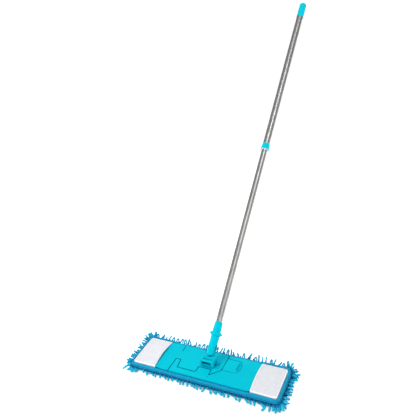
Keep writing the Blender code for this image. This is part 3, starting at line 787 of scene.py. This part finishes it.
def fringe_strand(p, n, layer, edge, draw, longer=1.0, lift=0.0):
    """One loose end from under the binding. layer is 0 for the upper layer and 1 for the lower one."""
    kind = FRINGE[edge]
    along = Vector((-n.y, n.x, 0))
    angle = math.radians(kind.rise + lift + draw.uniform(-kind.spread, kind.spread) - LAYER_DROP * layer)
    way = n * math.cos(angle) + along * (kind.lean + draw.uniform(-kind.sway, kind.sway))
    way.z = math.sin(angle)
    start = p + n * ((6.5 - 1.5 * layer) * MM)
    start.z = (8.6 - 2.6 * layer) * MM
    bend = along * draw.uniform(-45, 45) + Vector((0, 0, kind.up + draw.uniform(-25, 25)))
    size = kind.radius * draw.uniform(0.88, 1.1) * MM
    long = kind.length * draw.uniform(0.75, 1.15) * MM * (0.7 if layer else 1.0) * longer
    path = strand_path(start, way, long, bend, size + LIE_ABOVE, 11)
    # the lower layer keeps a low shade value all along: painted shade behind the upper layer
    grow(path, size, 9, draw, 0.0, 0.2 if layer else 1.0)


def fringe_loop(p, n, edge, draw):
    """A strand that comes back to the pad in a narrow loop."""
    kind = FRINGE[edge]
    along = Vector((-n.y, n.x, 0))
    angle = math.radians(kind.rise + draw.uniform(-kind.spread, kind.spread))
    way = n * math.cos(angle) + Vector((0, 0, math.sin(angle)))
    start = p + n * (6.5 * MM)
    start.z = 8.8 * MM
    wide, deep = draw.uniform(2.6, 3.8) * MM, kind.length * draw.uniform(0.75, 0.98) * MM
    lean = draw.uniform(-0.3, 0.3)
    path = []
    count = 17
    for i in range(count):
        a = math.pi * i / (count - 1)
        out = deep * math.sin(a) ** 0.7
        path.append(start + along * (wide * -math.cos(a) + lean * out) + way * out)
    grow(path, kind.radius * 0.9 * MM, 8, draw, 0.35, 0.8)


def front_length(along, layer):
    """The front strands' share of their length. along runs from -1 at the left end to 1 at the right."""
    return 0.5 + 0.18 * along if layer else 0.9 + 0.3 * along


def grow_fringe(draw):
    """The strands that stick out round the pad, in an upper and a lower layer."""
    ring = outline(1.0 * MM, 1.0 * MM)
    closed = ring + ring[:1]
    for layer in (0, 1):
        travelled, wait = 0.0, 0.0
        for (p, n), (q, _) in zip(closed, closed[1:]):
            travelled += (q - p).length
            if travelled < wait:
                continue
            edge = side_of(n)
            closer = LOWER_PITCH[edge] if layer else 1
            wait = travelled + FRINGE[edge].pitch * MM * draw.uniform(0.75, 1.25) * closer
            longer = front_length(p.x / EDGE_X, layer) if edge == "front" else 1.0
            if edge == "back" and not layer and draw.random() < 0.4:
                fringe_loop(p, n, edge, draw)
                wait += 4 * MM
            else:
                fringe_strand(p, n, layer, edge, draw, longer)
    for sx in (-1, 1):
        for sy in (-1, 1):
            center = Vector((sx * (EDGE_X - EDGE_CORNER), sy * (EDGE_Y - EDGE_CORNER), 0))
            for layer in (0, 1):
                for i in range(CORNER_FAN):
                    a = math.radians(-8 + 106 * i / (CORNER_FAN - 1))
                    n = Vector((sx * math.cos(a), sy * math.sin(a), 0))
                    longer, lift = CORNER[sx, sy]
                    fringe_strand(center + n * EDGE_CORNER, n, layer, side_of(n), draw, longer, lift)


def grow_loose_end(draw):
    """The one long strand at the front left corner."""
    start = Vector((-EDGE_X - 3 * MM, -EDGE_Y + 4 * MM, 12 * MM))
    path = strand_path(start, Vector((-0.5, -0.8, -0.05)), 34 * MM, Vector((-5, 0, -9)), 3.4 * MM, 15)
    grow(path, 2.8 * MM, 9, draw, 0.2, 1.0)


def grow_pile(draw):
    """The strands under the pad, tufted in rows and lying every way."""
    half_x, half_y = EDGE_X + 3 * MM, EDGE_Y + 2 * MM
    rows, columns = int(2 * half_y / PILE_PITCH), int(2 * half_x / PILE_PITCH)
    for i in range(columns + 1):
        for k in range(rows + 1):
            x = -half_x + 2 * half_x * i / columns + draw.uniform(-1.5, 1.5) * MM
            y = -half_y + 2 * half_y * k / rows + draw.uniform(-1.5, 1.5) * MM
            start = Vector((x, y, PILE_ROOT))
            a = draw.uniform(0, 2 * math.pi)
            flat = Vector((math.cos(a), math.sin(a), 0))
            if abs(x) < FOLD_ZONE + 12 * MM:
                flat.x *= 0.35
            way = flat * 0.8 + Vector((0, 0, -1.0))
            bend = flat * 95 + Vector((0, 0, 20))
            size = 2.6 * MM * draw.uniform(0.9, 1.1)
            path = strand_path(start, way, 17 * MM * draw.uniform(0.85, 1.1), bend, size + LIE_ABOVE, 8)
            # the pile starts from a low shade value: painted shade at its roots
            grow(path, size, 8, draw, 0.2, 0.7)


def make_strands():
    draw = random.Random(11)
    grow_fringe(draw)
    grow_loose_end(draw)
    grow_pile(draw)
    for name, strands in GROUPS.items():
        made = strands.piece("strands_" + name, NOODLE)
        if name == "middle":
            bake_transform(made)
            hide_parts("pad_fold")
        else:
            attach(made, name + "_side")
            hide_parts("pile_" + name)


# ---------------------------------------------------------------- stage


STUDIO = 42.0  # radius, within the 100 times the mop's own that a posed view's camera sees
WALL = 9.0  # height
STUDIO_STEPS = 48


def studio_ring(radius, z):
    """Points all round the studio at one height."""
    turns = [2 * math.pi * i / STUDIO_STEPS for i in range(STUDIO_STEPS)]
    return [(radius * math.cos(a), radius * math.sin(a), z) for a in turns]


def studio_piece(name, rings, look, lid=False):
    """A round piece of the studio, through rings from the lowest to the highest."""
    n = STUDIO_STEPS
    points = [p for ring in rings for p in ring]
    faces = [
        (k * n + i, k * n + (i + 1) % n, (k + 1) * n + (i + 1) % n, (k + 1) * n + i)
        for k in range(len(rings) - 1)
        for i in range(n)
    ]
    if lid:
        faces.append(tuple(range(len(points) - n, len(points))))
    mesh = bpy.data.meshes.new(name)
    mesh.from_pydata(points, [], faces)
    mesh.materials.append(look.material)
    made = bpy.data.objects.new(name, mesh)
    bpy.context.scene.collection.objects.link(made)
    return made


def softbox(name, at, target, size, power, long_way, mirrored=True):
    """A rectangular light at a place, facing target, with its long side along long_way."""
    light = bpy.data.lights.new(name, "AREA")
    light.shape = "RECTANGLE"
    light.size, light.size_y = size
    light.energy = power
    made = bpy.data.objects.new(name, light)
    bpy.context.scene.collection.objects.link(made)
    at, target, long_way = Vector(at), Vector(target), Vector(long_way)
    away = (at - target).normalized()
    up = (long_way - away * long_way.dot(away)).normalized()
    turn = Matrix((up.cross(away), up, away)).transposed()
    made.matrix_world = Matrix.Translation(at) @ turn.to_4x4()
    made.visible_glossy = mirrored


def make_world():
    world = bpy.data.worlds.new("studio")
    bpy.context.scene.world = world
    world.use_nodes = True
    background = world.node_tree.nodes["Background"]
    background.inputs["Color"].default_value = (1, 1, 1, 1)
    background.inputs["Strength"].default_value = 0.54
    world.cycles_visibility.glossy = False


def make_stage():
    """A pale round studio: a floor, a glowing wall, and a sky that only the camera sees."""
    bright = {"Emission_Color": (1, 1, 1, 1), "Specular_IOR_Level": 0.0}
    pale = Look("floor", Roughness=0.9, Emission_Strength=0.42, **bright)
    pale.color(pale.mix(pale.noise(3, 2), srgb(254, 254, 254), srgb(252, 252, 253)))
    studio_piece("floor", [studio_ring(STUDIO, -0.2 * MM)], pale, lid=True)
    make_world()
    glow = Look("backdrop", Emission_Strength=1.0, **bright)
    wall = studio_piece("backdrop", [studio_ring(STUDIO, 0), studio_ring(STUDIO, WALL)], glow)
    wall.visible_glossy = False
    rise = [math.pi / 2 * i / 6 for i in range(6)]
    dome = [studio_ring(STUDIO * math.cos(a), WALL + STUDIO * math.sin(a)) for a in rise]
    sky = studio_piece("sky", dome, glow, lid=True)
    sky.visible_glossy = False
    sky.visible_diffuse = False
    sky.visible_shadow = False
    softbox("overhead", (0.85, -0.13, 2.5), (0.1, 0.4, 0.3), (0.5, 2.6), 20, (-0.3, 1, 0))
    softbox("side", (-0.9, -0.2, 1.2), (0, 0.05, 0), (0.6, 0.6), 9, (0, 0, 1), mirrored=False)


def make_camera():
    """The view that the mop is shown from, with its perspective."""
    right = Vector((0.9056968857, 0.4140786947, -0.0908404413))
    ahead = Vector((-0.4140920827, 0.8182507700, -0.3987397953))
    up = right.cross(ahead)
    turn = Matrix((right, up, -ahead)).transposed()
    data = bpy.data.cameras.new("camera")
    data.sensor_width = 36
    data.lens = 41.54
    data.clip_start = 0.01
    data.shift_x = -0.001
    camera = bpy.data.objects.new("camera", data)
    bpy.context.scene.collection.objects.link(camera)
    camera.matrix_world = Matrix.Translation((0.48235, -0.86294, 0.89480)) @ turn.to_4x4()
    bpy.context.scene.camera = camera
    bpy.context.scene.view_settings.view_transform = "Standard"


finish_cad_nodes()
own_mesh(frame["nodes"]["tab_spring"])
binding = make_binding()
binding_stitches = make_binding_stitches()
make_backing()
for side, name in ((-1, "pocket_left"), (1, "pocket_right")):
    make_pocket(name, side)
make_strands()
make_stage()
make_camera()
